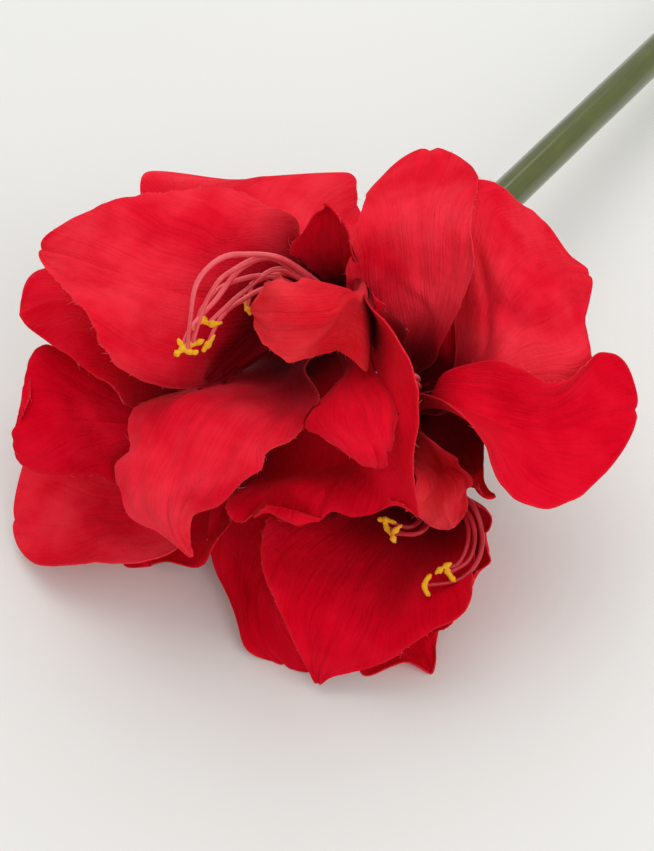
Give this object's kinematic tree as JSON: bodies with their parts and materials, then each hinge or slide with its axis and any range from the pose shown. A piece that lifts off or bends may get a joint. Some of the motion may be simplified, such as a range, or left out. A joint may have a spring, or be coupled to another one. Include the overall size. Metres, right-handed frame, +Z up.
{
  "type": "artificial amaryllis flower head on a stem",
  "caption": "Artificial amaryllis lying on its side: red fabric blooms with moulded stamens, in an umbel on one thick green stem.",
  "frame": {"origin": "on the surface that the flower lies on, under the middle of the part's box", "axes": "+X along the stem from the blooms to its cut end, +Z up from the surface"},
  "size_m": [0.466, 0.1794, 0.1204],
  "materials": {
    "fabric_petal": "woven red polyester with pressed veins and a soft sheen, cut raw at the edges",
    "stem_plastic": "satin olive green coating over the stem, umbel and calyx cups",
    "stamen_plastic": "glossy red moulded filaments with yellow painted anthers",
    "core_wire": "plain cut steel wire"
  },
  "bodies": {
    "root": {"stem": "stem_plastic", "stem_wire": "core_wire", "umbel": "stem_plastic", "upper_calyx": "stem_plastic", "upper_fringe": "fabric_petal", "upper_stamens": "stamen_plastic", "right_calyx": "stem_plastic", "right_fringe": "fabric_petal", "right_stamens": "stamen_plastic", "front_calyx": "stem_plastic", "front_fringe": "fabric_petal", "front_stamens": "stamen_plastic", "left_calyx": "stem_plastic", "left_fringe": "fabric_petal", "left_stamens": "stamen_plastic", "upper_petal_tongue": "fabric_petal", "upper_petal_left": "fabric_petal", "upper_petal_fold": "fabric_petal", "upper_petal_drape": "fabric_petal", "upper_petal_apron": "fabric_petal", "upper_petal_curl": "fabric_petal", "right_petal_side": "fabric_petal", "right_petal_lower": "fabric_petal", "right_petal_top": "fabric_petal", "front_petal_front": "fabric_petal", "front_petal_brow": "fabric_petal", "left_petal_front": "fabric_petal", "left_petal_bottom": "fabric_petal", "upper_petal_back": "fabric_petal", "front_petal_left": "fabric_petal", "left_petal_top": "fabric_petal", "front_petal_under": "fabric_petal", "front_petal_side": "fabric_petal", "left_petal_under": "fabric_petal", "right_petal_dark": "fabric_petal", "right_petal_back": "fabric_petal", "left_petal_back": "fabric_petal", "left_petal_low_back": "fabric_petal", "front_petal_hidden": "fabric_petal", "right_petal_tucked": "fabric_petal"}
  },
  "joints": []
}
